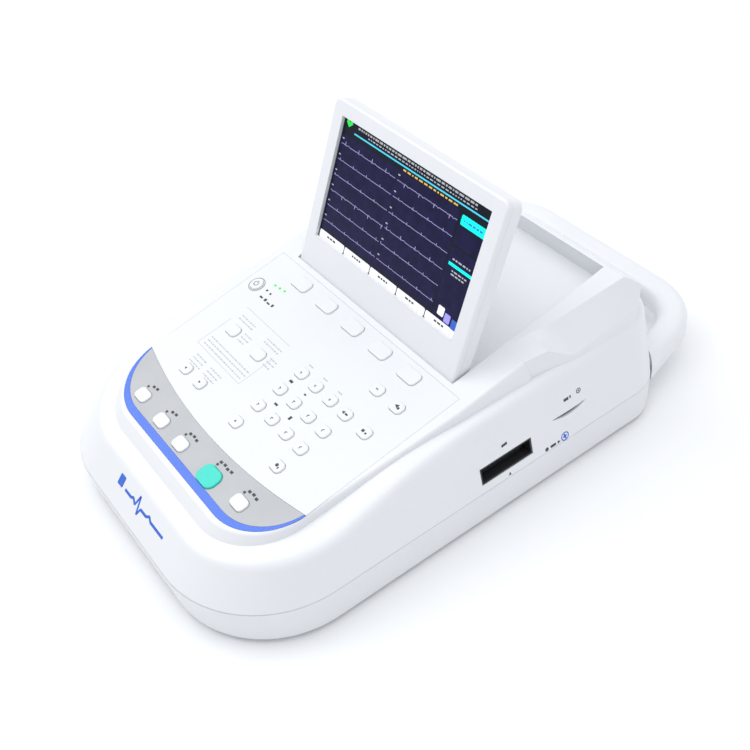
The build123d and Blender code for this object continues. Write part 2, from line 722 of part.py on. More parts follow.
with BuildPart() as card_socket:
    add(level_box(92, CARD_X, CARD_Y - 17, CARD_Y + 17, CARD_Z - 4, CARD_Z + 4))
    add(level_box(97, CARD_X, CARD_Y - 15, CARD_Y + 15, CARD_Z - 3.2, CARD_Z - 0.4), mode=Mode.SUBTRACT)
card_socket.part.label = "card_socket"
export_step(card_socket.part, "parts/card_socket.step")

with BuildPart() as battery_pack:
    add(level_box(BATTERY_X - 39, BATTERY_X + 39, BATTERY_Y - 29, BATTERY_Y + 29, 5, 25))
    fillet(battery_pack.edges().filter_by(Axis.Z), 4)
battery_pack.part.label = "battery_pack"
export_step(battery_pack.part, "parts/battery_pack.step")

with BuildPart() as battery_cover:
    with BuildSketch(Plane.XY.offset(BASE_Z)):
        with Locations((BATTERY_X, BATTERY_Y)):
            RectangleRounded(83.4, 63.4, 4)
    extrude(amount=2)
    with BuildSketch(Plane.XY.offset(BASE_Z)):
        with Locations((BATTERY_X + 34, BATTERY_Y)):
            RectangleRounded(8, 20, 3)
    extrude(amount=0.8, mode=Mode.SUBTRACT)
battery_cover.part.label = "battery_cover"
export_step(battery_cover.part, "parts/battery_cover.step")

with BuildPart() as mains_inlet:
    with BuildSketch(Plane.XZ.offset(-INLET_SEAT)):
        with Locations((INLET_X, INLET_Z)):
            RectangleRounded(31, 25, 3)
    extrude(amount=-2)
    with BuildSketch(Plane.XZ.offset(-INLET_SEAT + 18)):
        with Locations((INLET_X, INLET_Z)):
            RectangleRounded(27, 20, 2)
    extrude(amount=-18)
    with BuildSketch(Plane.XZ.offset(-INLET_SEAT - 2)):
        with Locations((INLET_X, INLET_Z)):
            RectangleRounded(24, 17, 3)
    extrude(amount=14, mode=Mode.SUBTRACT)
    for across, up in ((-7, 0.5), (0, 4.5), (7, 0.5)):
        place = INLET_X + across
        height = INLET_Z + up
        add(level_box(place - 1, place + 1, INLET_SEAT - 12, INLET_SEAT - 4, height - 2, height + 2))
mains_inlet.part.label = "mains_inlet"
export_step(mains_inlet.part, "parts/mains_inlet.step")

with BuildPart() as power_supply:
    add(level_box(10, 98, 78, 132, 12, 14))
    add(level_box(14, 40, 84, 126, 14, 42))
    add(level_box(46, 70, 84, 104, 14, 36))
    with BuildSketch(Plane.XY.offset(14)):
        with Locations((82, 92), (82, 112), (56, 116)):
            Circle(6.5)
    extrude(amount=26)
power_supply.part.label = "power_supply"
export_step(power_supply.part, "parts/power_supply.step")

with BuildPart() as feet:
    with BuildSketch(Plane.XY):
        with Locations(*FEET):
            Circle(9)
    extrude(amount=FOOT_H)
    with BuildSketch(Plane.XY.offset(FOOT_H)):
        with Locations(*FEET):
            Circle(3)
    extrude(amount=2.4)
feet.part.label = "feet"
export_step(feet.part, "parts/feet.step")

with BuildPart() as case_screws:
    with BuildSketch(Plane.XY.offset(17)):
        with Locations(*SCREWS):
            Circle(2.75)
            RegularPolygon(1.3, 6, mode=Mode.SUBTRACT)
    extrude(amount=1.6)
    with BuildSketch(Plane.XY.offset(18.6)):
        with Locations(*SCREWS):
            Circle(2.75)
    extrude(amount=1.4)
    with BuildSketch(Plane.XY.offset(20)):
        with Locations(*SCREWS):
            Circle(1.5)
    extrude(amount=21)
case_screws.part.label = "case_screws"
export_step(case_screws.part, "parts/case_screws.step")

# ---------------------------------------------------------------- handle
with BuildPart() as carry_handle:
    add(handle_bar(HANDLE_W, HANDLE_LOW_Z, HANDLE_TOP_Z, 9, 112))
    add(extrude(seam_plan(0, -0.8), 100, mode=Mode.PRIVATE), mode=Mode.SUBTRACT)
    add(handle_bar(16, HANDLE_LOW_Z + 3, HANDLE_TOP_Z - 3, 5, 112))
carry_handle.part.label = "carry_handle"
export_step(carry_handle.part, "parts/carry_handle.step")

ARM_SOCKETS = handle_bar(HANDLE_W, HANDLE_LOW_Z, HANDLE_TOP_Z, 9, 111)
ARM_HOLES = handle_bar(16.4, HANDLE_LOW_Z + 2.8, HANDLE_TOP_Z - 2.8, 5.2, 111)

# ---------------------------------------------------------------- case halves
with BuildPart() as base_hollow:
    add(
        loft(
            [
                plan(FLOOR_Z, BASE_HALF - WALL, BASE_FRONT + WALL, REAR_Y - 1 - WALL, 70, 28),
                seam_plan(SEAM_Z + 1, WALL),
            ],
            ruled=True,
            mode=Mode.PRIVATE,
        )
    )
    add(ARM_SOCKETS, mode=Mode.SUBTRACT)
    with BuildSketch(Plane.XY.offset(FLOOR_Z)):
        with Locations(*SCREWS):
            Circle(4.5)
    extrude(amount=30, mode=Mode.SUBTRACT)
    with BuildSketch(Plane.XY.offset(FLOOR_Z)):
        with Locations(*MAIN_BOARD_POSTS):
            Circle(3)
    extrude(amount=MAIN_BOARD_Z - FLOOR_Z, mode=Mode.SUBTRACT)
    with BuildSketch(Plane.XY.offset(FLOOR_Z)):
        with Locations(*SUPPLY_POSTS):
            Circle(3)
    extrude(amount=12 - FLOOR_Z, mode=Mode.SUBTRACT)
    with BuildSketch(Plane.XY.offset(FLOOR_Z)):
        with Locations((BATTERY_X, BATTERY_Y)):
            Rectangle(84, 64)
            Rectangle(80, 60, mode=Mode.SUBTRACT)
    extrude(amount=14, mode=Mode.SUBTRACT)

with BuildPart() as bottom_case:
    add(
        loft(
            [plan(BASE_Z, BASE_HALF, BASE_FRONT, REAR_Y - 1, 72, 30), seam_plan(SEAM_Z, 0)],
            ruled=True,
            mode=Mode.PRIVATE,
        )
    )
    fillet(bottom_case.faces().sort_by(Axis.Z)[0].edges(), 1.5)
    add(base_hollow.part, mode=Mode.SUBTRACT)
    add(ARM_HOLES, mode=Mode.SUBTRACT)
    with BuildSketch(Plane.XY.offset(BASE_Z)):
        with Locations((BATTERY_X, BATTERY_Y)):
            RectangleRounded(84, 64, 4.3)
    extrude(amount=2, mode=Mode.SUBTRACT)
    with BuildSketch(Plane.XY.offset(BASE_Z)):
        with Locations((BATTERY_X, BATTERY_Y)):
            Rectangle(79, 59)
    extrude(amount=4, mode=Mode.SUBTRACT)
    with BuildSketch(Plane.XY.offset(BASE_Z)):
        with Locations(*SCREWS):
            Circle(3.2)
        with Locations(*FEET):
            Circle(3.05)
    extrude(amount=2.6, mode=Mode.SUBTRACT)
    with BuildSketch(Plane.XY.offset(BASE_Z)):
        with Locations(*SCREWS):
            Circle(3.2)
    extrude(amount=17, mode=Mode.SUBTRACT)
    with BuildSketch(Plane.XY.offset(BASE_Z)):
        with Locations(*SCREWS):
            Circle(1.55)
    extrude(amount=40, mode=Mode.SUBTRACT)
bottom_case.part.label = "bottom_case"
export_step(bottom_case.part, "parts/bottom_case.step")

with BuildPart() as top_hollow:
    add(tub(WALL, WALL))
    add(console_front(WALL, WALL))
    add(console_rear(WALL, WALL))
    rim = WELL_HALF + WALL
    add(deck_box(-rim, rim, -6.7, WELL_END + WALL, -WELL_DEPTH - WALL, 30), mode=Mode.SUBTRACT)
    add(ARM_SOCKETS, mode=Mode.SUBTRACT)
    with BuildSketch(Plane.XY.offset(SEAM_Z - 5)):
        with Locations(*SCREWS):
            Circle(4.5)
    extrude(amount=100, mode=Mode.SUBTRACT)
    with BuildSketch(DECK.offset(BOARD_TOP)):
        with Locations(*BOARD_POSTS):
            Circle(3)
    extrude(amount=20, mode=Mode.SUBTRACT)
    with BuildSketch(DECK.offset(BOARD_TOP - BOARD_T - 1.4)):
        with Locations(*BOARD_POSTS):
            Circle(1.5)
    extrude(amount=20, mode=Mode.SUBTRACT)
    add(
        level_box(CONNECTOR_X - 4.8, 140, CONNECTOR_Y - 24.5, CONNECTOR_Y + 24.5, CONNECTOR_Z - 9.5, CONNECTOR_Z + 9.5),
        mode=Mode.SUBTRACT,
    )
    add(level_box(CARD_X - 3, 140, CARD_Y - 20, CARD_Y + 20, CARD_Z - 6.5, CARD_Z + 6.5), mode=Mode.SUBTRACT)
    add(level_box(INLET_X - 20, INLET_X + 20, INLET_SEAT - WALL, 160, 44, 76), mode=Mode.SUBTRACT)

CASE = case_solid()

with BuildPart() as top_case:
    add(CASE)
    back_edge = top_case.edges().filter_by(lambda e: e.length > 20 and abs(e.center().Z - deck_z(e.center().Y)) < 0.6)
    fillet(back_edge.filter_by(lambda e: abs(e.center().Y - (HINGE_Y + 130)) < 1), 3)
    add(level_box(-200, 200, -300, 300, SEAM_Z + SEAM_GAP, 300), mode=Mode.INTERSECT)
    add(top_hollow.part, mode=Mode.SUBTRACT)
    # screw bosses reach the lower case
    with BuildSketch(Plane.XY.offset(SEAM_Z)):
        with Locations(*SCREWS):
            Circle(4.5)
    extrude(amount=SEAM_GAP)
    with BuildSketch(Plane.XY.offset(SEAM_Z)):
        with Locations(*SCREWS):
            Circle(1.55)
    extrude(amount=12, mode=Mode.SUBTRACT)
    add(ARM_HOLES, mode=Mode.SUBTRACT)
    # well for the display, with a round front wall behind the hinge barrel
    add(deck_box(-WELL_HALF, WELL_HALF, -1.2, WELL_END, -WELL_DEPTH, 30), mode=Mode.SUBTRACT)
    add(rod_x(PANEL_FRONT + 0.6, -WELL_HALF, WELL_HALF, PIVOT.Y, PIVOT.Z), mode=Mode.SUBTRACT)
    for side in (-1, 1):
        middle = side * BRACKET_X
        add(deck_box(middle - 5.7, middle + 5.7, -1.25, 8.75, -WELL_DEPTH - WALL, 0), mode=Mode.SUBTRACT)
    # pocket for the sheets, and the key holes
    add(
        extrude(sheet_outline(-0.12, -0.12, SHEET_REAR + 0.12), -SHEET_T, dir=DECK.z_dir, mode=Mode.PRIVATE),
        mode=Mode.SUBTRACT,
    )
    add(key_holes(KEY_GAP, -WALL - 1, 2), mode=Mode.SUBTRACT)
    # recorder opening and the pins that carry its door
    add(level_box(-150, -110, DOOR_Y0, DOOR_Y1, DOOR_LOW_Z, DOOR_TOP_Z), mode=Mode.SUBTRACT)
    for place in (DOOR_Y0 - 3, DOOR_Y1 - 3.6):
        add(rod_y(1.2, place, place + 6.6, DOOR_PIVOT_X, DOOR_PIVOT_Z))
    # patient connector recess, card slot and mains inlet seat
    add(
        level_box(CONNECTOR_X - 1.8, 140, CONNECTOR_Y - 21.5, CONNECTOR_Y + 21.5, CONNECTOR_Z - 6.5, CONNECTOR_Z + 6.5),
        mode=Mode.SUBTRACT,
    )
    add(
        level_box(CONNECTOR_X - 10, 140, CONNECTOR_Y - 20.6, CONNECTOR_Y + 20.6, CONNECTOR_Z - 6.1, CONNECTOR_Z + 6.1),
        mode=Mode.SUBTRACT,
    )
    add(level_box(90, CARD_X, CARD_Y - 17.1, CARD_Y + 17.1, CARD_Z - 4.1, CARD_Z + 4.1), mode=Mode.SUBTRACT)
    with BuildSketch(Plane.YZ.offset(120)):
        with BuildLine():
            ThreePointArc((CARD_Y - 15.5, CARD_Z), (CARD_Y, CARD_Z - 3.4), (CARD_Y + 15.5, CARD_Z))
            ThreePointArc((CARD_Y - 15.5, CARD_Z), (CARD_Y, CARD_Z - 0.6), (CARD_Y + 15.5, CARD_Z))
        make_face()
    extrude(amount=20, mode=Mode.SUBTRACT)
    add(level_box(INLET_X - 15.8, INLET_X + 15.8, INLET_SEAT, 160, INLET_Z - 12.8, INLET_Z + 12.8), mode=Mode.SUBTRACT)
    add(level_box(INLET_X - 13.6, INLET_X + 13.6, 120, 160, INLET_Z - 10.1, INLET_Z + 10.1), mode=Mode.SUBTRACT)
top_case.part.label = "top_case"
export_step(top_case.part, "parts/top_case.step")
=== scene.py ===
import random
from math import cos, exp, pi, radians, sin, tan

import bmesh
import bpy
from mathutils import Matrix, Vector


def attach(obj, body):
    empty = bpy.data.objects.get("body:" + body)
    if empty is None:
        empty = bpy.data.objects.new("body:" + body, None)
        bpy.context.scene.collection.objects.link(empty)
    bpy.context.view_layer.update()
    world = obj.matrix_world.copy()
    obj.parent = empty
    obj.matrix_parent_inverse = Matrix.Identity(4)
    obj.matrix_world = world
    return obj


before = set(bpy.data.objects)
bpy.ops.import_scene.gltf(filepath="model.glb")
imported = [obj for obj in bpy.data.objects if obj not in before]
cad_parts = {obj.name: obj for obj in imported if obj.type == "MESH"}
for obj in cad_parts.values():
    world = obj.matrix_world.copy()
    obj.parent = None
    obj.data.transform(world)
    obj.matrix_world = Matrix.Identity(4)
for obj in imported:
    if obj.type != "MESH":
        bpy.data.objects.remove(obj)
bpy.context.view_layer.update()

random.seed(7)
MM = 0.001

# ---------------------------------------------------------------- the object's own planes, in millimetres
HINGE_Y, HINGE_Z = -12.5, 91.0
SLOPE = radians(10.5)
TILT = radians(66.8)
FACE = 7.0
PIVOT_D = FACE * tan((TILT - SLOPE) / 2)
SEAM_Z = 30.0
FRONT_Y = -215.5
SCREEN_N = 4.4


def deck(u, v, h):
    """A point across, along and above the keypad deck, in metres."""
    y = HINGE_Y + v * cos(SLOPE) - h * sin(SLOPE)
    z = HINGE_Z + v * sin(SLOPE) + h * cos(SLOPE)
    return Vector((u, y, z)) * MM


PIVOT = deck(0, PIVOT_D, -FACE) / MM


def panel(u, s, n):
    """A point across, up and in front of the display, s from its lower edge, n from its axis, in metres."""
    v = s + PIVOT_D
    y = PIVOT.y + v * cos(TILT) - n * sin(TILT)
    z = PIVOT.z + v * sin(TILT) + n * cos(TILT)
    return Vector((u, y, z)) * MM


def wall_x(z):
    return 130.0 - 14.4 * (z - SEAM_Z) / 70.0


def side(y, z, h):
    """A point on the right wall, in metres."""
    return Vector((wall_x(z) + h, y, z)) * MM


def front(u, z, h):
    """A point on the sloping front, in metres."""
    return Vector((u, FRONT_Y + 62.0 * (z - SEAM_Z) / 70.0 - h, z + h * 0.66)) * MM


# ---------------------------------------------------------------- camera
POSITION = Vector((0.4645, -0.3000, 0.5517))
AZ, EL, ROLL = radians(58.46), radians(43.45), -0.1204
back = Vector((sin(AZ) * cos(EL), -cos(AZ) * cos(EL), sin(EL)))
level = Vector((cos(AZ), sin(AZ), 0))
lift = back.cross(level)
right = level * cos(ROLL) + lift * sin(ROLL)
up = lift * cos(ROLL) - level * sin(ROLL)
camera_data = bpy.data.cameras.new("photo_camera")
camera_data.sensor_width = 36.0
camera_data.lens = 1052.9 * 36.0 / 750.0
camera_data.clip_start = 0.01
camera = bpy.data.objects.new("photo_camera", camera_data)
camera.matrix_world = Matrix(
    (
        (right.x, up.x, back.x, POSITION.x),
        (right.y, up.y, back.y, POSITION.y),
        (right.z, up.z, back.z, POSITION.z),
        (0, 0, 0, 1),
    )
)
bpy.context.scene.collection.objects.link(camera)
bpy.context.scene.camera = camera


# ---------------------------------------------------------------- materials
def material(
    name,
    color,
    rough=0.4,
    coat=0.0,
    grain=1400.0,
    bump=0.03,
    edge=0.0006,
    metallic=0.0,
    shade=0.03,
    glow=0.0,
    mottle=14.0,
    specular=0.5,
):
    """A moulded or printed surface: broad tone shifts, a fine grain in the normal and a soft edge."""
    mat = bpy.data.materials.new(name)
    mat.use_nodes = True
    nodes = mat.node_tree.nodes
    links = mat.node_tree.links
    shader = nodes["Principled BSDF"]
    place = nodes.new("ShaderNodeTexCoord")
    broad = nodes.new("ShaderNodeTexNoise")
    broad.inputs["Scale"].default_value = mottle
    broad.inputs["Detail"].default_value = 4.0
    links.new(place.outputs["Object"], broad.inputs["Vector"])
    ramp = nodes.new("ShaderNodeValToRGB")
    low = [c * (1 - shade) for c in color]
    high = [min(1.0, c * (1 + shade)) for c in color]
    ramp.color_ramp.elements[0].position = 0.3
    ramp.color_ramp.elements[0].color = (*low, 1)
    ramp.color_ramp.elements[1].position = 0.7
    ramp.color_ramp.elements[1].color = (*high, 1)
    links.new(broad.outputs["Fac"], ramp.inputs["Fac"])
    links.new(ramp.outputs["Color"], shader.inputs["Base Color"])
    fine = nodes.new("ShaderNodeTexNoise")
    fine.inputs["Scale"].default_value = grain
    fine.inputs["Detail"].default_value = 3.0
    links.new(place.outputs["Object"], fine.inputs["Vector"])
    spread = nodes.new("ShaderNodeMapRange")
    spread.inputs["To Min"].default_value = max(0.02, rough - 0.07)
    spread.inputs["To Max"].default_value = min(1.0, rough + 0.07)
    links.new(fine.outputs["Fac"], spread.inputs["Value"])
    links.new(spread.outputs["Result"], shader.inputs["Roughness"])
    relief = nodes.new("ShaderNodeBump")
    relief.inputs["Strength"].default_value = bump
    relief.inputs["Distance"].default_value = 0.0004
    links.new(fine.outputs["Fac"], relief.inputs["Height"])
    if edge > 0:
        soften = nodes.new("ShaderNodeBevel")
        soften.samples = 6
        soften.inputs["Radius"].default_value = edge
        links.new(soften.outputs["Normal"], relief.inputs["Normal"])
    links.new(relief.outputs["Normal"], shader.inputs["Normal"])
    shader.inputs["Metallic"].default_value = metallic
    shader.inputs["Coat Weight"].default_value = coat
    shader.inputs["Coat Roughness"].default_value = 0.15
    shader.inputs["Specular IOR Level"].default_value = specular
    if glow > 0:
        links.new(ramp.outputs["Color"], shader.inputs["Emission Color"])
        shader.inputs["Emission Strength"].default_value = glow
    return mat


M = {
    "case": material(
        "moulded_white", (0.80, 0.81, 0.83), rough=0.34, coat=0.12, bump=0.05, grain=1800,
        shade=0.012,
    ),
    "case_low": material(
        "moulded_white_lower", (0.79, 0.80, 0.82), rough=0.38, coat=0.08, bump=0.06, grain=1800,
        shade=0.012,
    ),
    "bezel": material(
        "bezel_white", (0.80, 0.81, 0.83), rough=0.36, coat=0.1, bump=0.05, grain=2000, shade=0.01,
    ),
    "sheet": material(
        "overlay_white", (0.79, 0.80, 0.82), rough=0.42, bump=0.08, grain=2600, edge=0.0002,
        shade=0.01,
    ),
    "band": material(
        "band_grey", (0.485, 0.495, 0.51), rough=0.42, bump=0.08, grain=2600, edge=0.0002,
        shade=0.035, mottle=30,
    ),
    "stripe": material(
        "stripe_blue", (0.022, 0.135, 0.72), rough=0.25, coat=0.4, bump=0.03, edge=0.0002,
        shade=0.05, mottle=40,
    ),
    "key": material(
        "key_white", (0.80, 0.81, 0.82), rough=0.38, coat=0.1, bump=0.05, grain=2400, edge=0.0004,
        shade=0.012, mottle=60,
    ),
    "teal": material(
        "key_teal", (0.010, 0.66, 0.53), rough=0.32, coat=0.2, bump=0.04, grain=2400, edge=0.0004,
        shade=0.03, mottle=60,
    ),
    "ink": material("ink_dark", (0.05, 0.05, 0.052), rough=0.5, bump=0.1, edge=0, shade=0.1, mottle=400),
    "ink_soft": material(
        "ink_grey", (0.52, 0.53, 0.55), rough=0.5, bump=0.1, edge=0, shade=0.05, mottle=400,
    ),
    "ink_blue": material(
        "ink_blue", (0.03, 0.13, 0.62), rough=0.45, bump=0.1, edge=0, shade=0.06, mottle=400,
    ),
    "black": material(
        "connector_black", (0.014, 0.014, 0.016), rough=0.42, bump=0.15, grain=1600, edge=0.0003,
        shade=0.15,
    ),
    "board": material(
        "board_green", (0.02, 0.16, 0.07), rough=0.4, coat=0.3, bump=0.2, grain=900, edge=0.0002,
        shade=0.2, mottle=120,
    ),
    "inner": material("inner_grey", (0.11, 0.115, 0.125), rough=0.5, bump=0.1, grain=1500, shade=0.06),
    "rubber": material(
        "soft_rubber", (0.022, 0.022, 0.024), rough=0.75, bump=0.3, grain=1100, edge=0.0005,
        shade=0.15,
    ),
    "steel": material(
        "plain_steel", (0.52, 0.53, 0.55), rough=0.32, bump=0.06, grain=2200, metallic=1.0,
        edge=0.0002, shade=0.06,
    ),
    "alu": material(
        "extruded_aluminium", (0.72, 0.73, 0.75), rough=0.36, bump=0.08, grain=1900, metallic=1.0,
        edge=0.0002, shade=0.04,
    ),
    "nylon": material("gear_nylon", (0.72, 0.72, 0.68), rough=0.45, bump=0.05, edge=0.0001, shade=0.03),
    "paper": material(
        "chart_paper", (0.84, 0.62, 0.58), rough=0.8, bump=0.4, grain=700, edge=0.0002, shade=0.05,
        mottle=300,
    ),
    "navy": material(
        "screen_navy", (0.010, 0.009, 0.045), rough=0.22, bump=0.0, edge=0, shade=0.25,
        specular=0.12, glow=0.12, mottle=160,
    ),
    "dark": material(
        "screen_dark", (0.004, 0.006, 0.014), rough=0.22, bump=0.0, edge=0, shade=0.2,
        specular=0.15, glow=0.4, mottle=160,
    ),
    "trace": material(
        "screen_trace", (0.21, 0.20, 0.36), rough=0.3, bump=0.0, edge=0, shade=0.15, specular=0.15,
        glow=0.75, mottle=300,
    ),
    "cyan": material(
        "screen_cyan", (0.05, 0.42, 0.56), rough=0.3, bump=0.0, edge=0, shade=0.08, specular=0.15,
        glow=0.8, mottle=200,
    ),
    "turq": material(
        "screen_turquoise", (0.0, 0.62, 0.50), rough=0.3, bump=0.0, edge=0, shade=0.08,
        specular=0.15, glow=0.9, mottle=200,
    ),
    "green": material(
        "screen_green", (0.02, 0.55, 0.05), rough=0.3, bump=0.0, edge=0, shade=0.08, specular=0.15,
        glow=0.8, mottle=200,
    ),
    "tab": material(
        "screen_tab", (0.72, 0.73, 0.75), rough=0.3, bump=0.0, edge=0, shade=0.03, specular=0.15,
        glow=0.42, mottle=200,
    ),
    "amber": material(
        "screen_amber", (0.60, 0.36, 0.10), rough=0.3, bump=0.0, edge=0, shade=0.08, specular=0.15,
        glow=0.5, mottle=200,
    ),
    "violet": material(
        "screen_violet", (0.24, 0.22, 0.70), rough=0.3, bump=0.0, edge=0, shade=0.08, specular=0.15,
        glow=0.8, mottle=200,
    ),
}

WEAR = {
    "bottom_case": "case_low",
    "top_case": "case",
    "keypad_overlay": "sheet",
    "start_band": "band",
    "trim_stripe": "stripe",
    "keypad_board": "board",
    "main_board": "board",
    "lcd_bezel": "bezel",
    "lcd_rear_cover": "bezel",
    "lcd_module": "dark",
    "hinge_brackets": "steel",
    "carry_handle": "case",
    "patient_connector": "black",
    "card_socket": "black",
    "recorder_door": "case",
    "recorder_frame": "inner",
    "platen_roller": "rubber",
    "thermal_head": "alu",
    "paper_pack": "paper",
    "feed_motor": "steel",
    "motor_pinion": "nylon",
    "platen_gear": "nylon",
    "battery_pack": "inner",
    "battery_cover": "case_low",
    "mains_inlet": "black",
    "power_supply": "board",
    "feet": "rubber",
    "case_screws": "steel",
}
for name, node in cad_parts.items():
    choice = M[WEAR.get(name, "teal" if name == "key_start" else "key")]
    if not node.material_slots:
        node.data.materials.append(choice)
    for holder in node.material_slots:
        holder.material = choice


# ---------------------------------------------------------------- flat prints and thin plates
def plate_object(name, shapes, plane, low, high, mat, body):
    """Thin prisms on one of the object's planes, each from a list of (u, v) points."""
    bm = bmesh.new()
    for shape in shapes:
        bottom = [bm.verts.new(plane(u, v, low)) for u, v in shape]
        top = [bm.verts.new(plane(u, v, high)) for u, v in shape]
        bm.faces.new(top)
        bm.faces.new(bottom[::-1])
        count = len(shape)
        for i in range(count):
            j = (i + 1) % count
            bm.faces.new((bottom[i], bottom[j], top[j], top[i]))
    bmesh.ops.recalc_face_normals(bm, faces=bm.faces)
    data = bpy.data.meshes.new(name)
    bm.to_mesh(data)
    bm.free()
    obj = bpy.data.objects.new(name, data)
    bpy.context.scene.collection.objects.link(obj)
    data.materials.append(M[mat])
    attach(obj, body)
    return obj


def bar(u, v, w, h, turn=0.0):
    c, s = cos(turn), sin(turn)
    return [
        (u + a * w / 2 * c - b * h / 2 * s, v + a * w / 2 * s + b * h / 2 * c)
        for a, b in ((-1, -1), (1, -1), (1, 1), (-1, 1))
    ]


def rounded(u, v, w, h, r, steps=5):
    points = []
    for a, b, start in ((1, -1, -90), (1, 1, 0), (-1, 1, 90), (-1, -1, 180)):
        for i in range(steps + 1):
            t = radians(start + 90 * i / steps)
            points.append((u + a * (w / 2 - r) + r * cos(t), v + b * (h / 2 - r) + r * sin(t)))
    return points


def disc(u, v, r, count=20):
    return [(u + r * cos(2 * pi * i / count), v + r * sin(2 * pi * i / count)) for i in range(count)]


def ring(u, v, r, width, count=28, start=0.0, sweep=360.0):
    """A ring or arc, as short pieces."""
    pieces = []
    for i in range(count):
        a = radians(start + sweep * i / count)
        b = radians(start + sweep * (i + 1) / count)
        pieces.append(
            [
                (u + r * cos(a), v + r * sin(a)),
                (u + (r + width) * cos(a), v + (r + width) * sin(a)),
                (u + (r + width) * cos(b), v + (r + width) * sin(b)),
                (u + r * cos(b), v + r * sin(b)),
            ]
        )
    return pieces


def arrow(u, v, size, turn):
    points = [(size, 0), (-size * 0.7, size * 0.85), (-size * 0.7, -size * 0.85)]
    c, s = cos(turn), sin(turn)
    return [(u + x * c - y * s, v + x * s + y * c) for x, y in points]


def dashes(u, v, width, rows, pitch, thick, least=1.0, most=3.2, gap=0.9):
    """Rows of short strokes that stand for small print without spelling anything."""
    shapes = []
    for row in range(rows):
        x = u
        while x < u + width - least:
            w = min(random.uniform(least, most), u + width - x)
            shapes.append(bar(x + w / 2, v - row * pitch, w, thick))
            x += w + gap
    return shapes


def ribbon(points, width):
    """A line of the given width through points, as one strip of quads."""
    shapes = []
    for (x0, y0), (x1, y1) in zip(points, points[1:]):
        dx, dy = x1 - x0, y1 - y0
        size = (dx * dx + dy * dy) ** 0.5
        nx, ny = -dy / size * width / 2, dx / size * width / 2
        shapes.append([(x0 - nx, y0 - ny), (x1 - nx, y1 - ny), (x1 + nx, y1 + ny), (x0 + nx, y0 + ny)])
    return shapes


# ---------------------------------------------------------------- keypad prints
TOP = 0.0  # height of a print's underside over the sheet, and of its top
INK = 0.05
soft = []
dark = []
for u, v in ((-64.6, -74.7), (-31.3, -74.7)):
    soft += dashes(u - 7, v + 12.5, 18, 2, 3.0, 1.0)
    soft += dashes(u + 9.5, v + 4, 9, 3, 3.2, 1.0)
for u in (-60.7, -41.6):
    soft += dashes(u - 6, -104.5, 14, 3, 3.2, 1.0)
for row in range(3):
    soft += dashes(-72, -88.5 - row * 3.4, 50, 1, 3.0, 1.0)
soft += [
    bar(-48, -98.5, 56, 0.35), bar(-76, -84, 0.35, 29), bar(-20, -84, 0.35, 29),
    bar(-48, -69.4 + 14, 56, 0.35),
]
# beside the power key: lamps with their marks
lamps = []
for i in range(3):
    lamps += [disc(-77.2 + 5.2 * i, -29.5 + 0.6 * i, 0.9, 14)]
dark += [
    bar(-76, -43.0, 3.2, 1.5), bar(-71.0, -42.6, 2.4, 2.4), bar(-66.5, -43.2, 3.4, 1.3),
    bar(-62.0, -42.4, 2.0, 2.4),
]
dark += [bar(-78.0, -36.4, 1.8, 1.6), bar(-73.0, -36.8, 1.8, 1.6)]
dark += ring(-89.4, -38.1, 6.0, 0.45, 30)
# pad prints between the keys
for u, v in ((6.2, -55.4), (22.9, -55.4), (39.6, -55.4)):
    soft += [bar(u, v, 4.6, 0.9)]
dark += [
    bar(6.4, -72.2, 3.4, 1.9), bar(22.9, -72.2, 2.0, 1.2), bar(31.2, -90.0, 2.0, 3.0),
    bar(14.6, -90.2, 3.4, 1.6),
]
plate_object("print_soft_marks", soft, deck, TOP, INK, "ink_soft", "case")
plate_object("print_dark_marks", dark, deck, TOP, INK, "ink", "case")
plate_object("lamp_lenses", lamps, deck, TOP, 0.35, "green", "case")

band_marks = []
for u, v, n in (
    (-63.9, -151.0, 2), (-33.9, -152.8, 2), (-6.8, -153.2, 3), (30.0, -152.8, 4), (61.2, -149.2, 3),
):
    lift_v = 11.6 if u == 30.0 else 9.2
    for i in range(n):
        band_marks.append(bar(u - 3.2 * (n - 1) / 2 + 3.9 * i + 1.2, v + lift_v + 0.6 * (i % 2), 2.6, 1.9))
    band_marks.append(bar(u - 4.2, v + lift_v - 2.6, 2.0, 1.7))
plate_object("band_print", band_marks, deck, TOP, INK, "ink", "case")


def key_mark(name, shapes, mat="ink"):
    plate_object(f"mark_{name}", shapes, deck, 1.3, 1.34, mat, f"key_{name}_body")


GRID = (6.2, 22.9, 39.6, 56.3, 77.0)
for i, u in enumerate(GRID):
    v = -63.2
    if i < 3:
        key_mark(f"pad_a{i + 1}", [bar(u, v, 1.5, 0.6, 0.2 * i), bar(u + 0.2, v - 0.9, 1.1, 0.5)])
    elif i == 3:
        key_mark("pad_a4", [arrow(u - 1.6, v, 1.5, pi), bar(u + 1.4, v, 2.6, 1.3)])
    else:
        key_mark("pad_a5", [bar(u - 1.2, v, 2.2, 2.0), bar(u + 1.8, v - 0.4, 1.4, 1.4)])
for row, v in (("b", -81.0), ("c", -98.8)):
    for i, u in enumerate(GRID[:4]):
        key_mark(
            f"pad_{row}{i + 1}",
            [bar(u, v + 0.5, 1.7, 0.6, 0.35 * (i - 1)), bar(u - 0.2, v - 0.6, 0.6, 1.2)],
        )
key_mark("pad_d1", [arrow(GRID[0], -117.0, 1.1, pi / 2)])
key_mark("pad_d2", [disc(GRID[3], -116.8, 1.25), bar(GRID[3] + 2.2, -117.8, 1.0, 1.6)])
key_mark("edit_1", [bar(GRID[3], -37.0, 2.0, 0.8)])
key_mark("edit_2", [arrow(GRID[4] - 0.4, -36.6, 1.8, pi), bar(GRID[4] + 1.9, -37.4, 1.6, 1.8)])
key_mark("shift_1", [arrow(-60.7, -117.0, 1.2, pi)])
key_mark("shift_2", [arrow(-41.6, -117.0, 1.2, 0)])
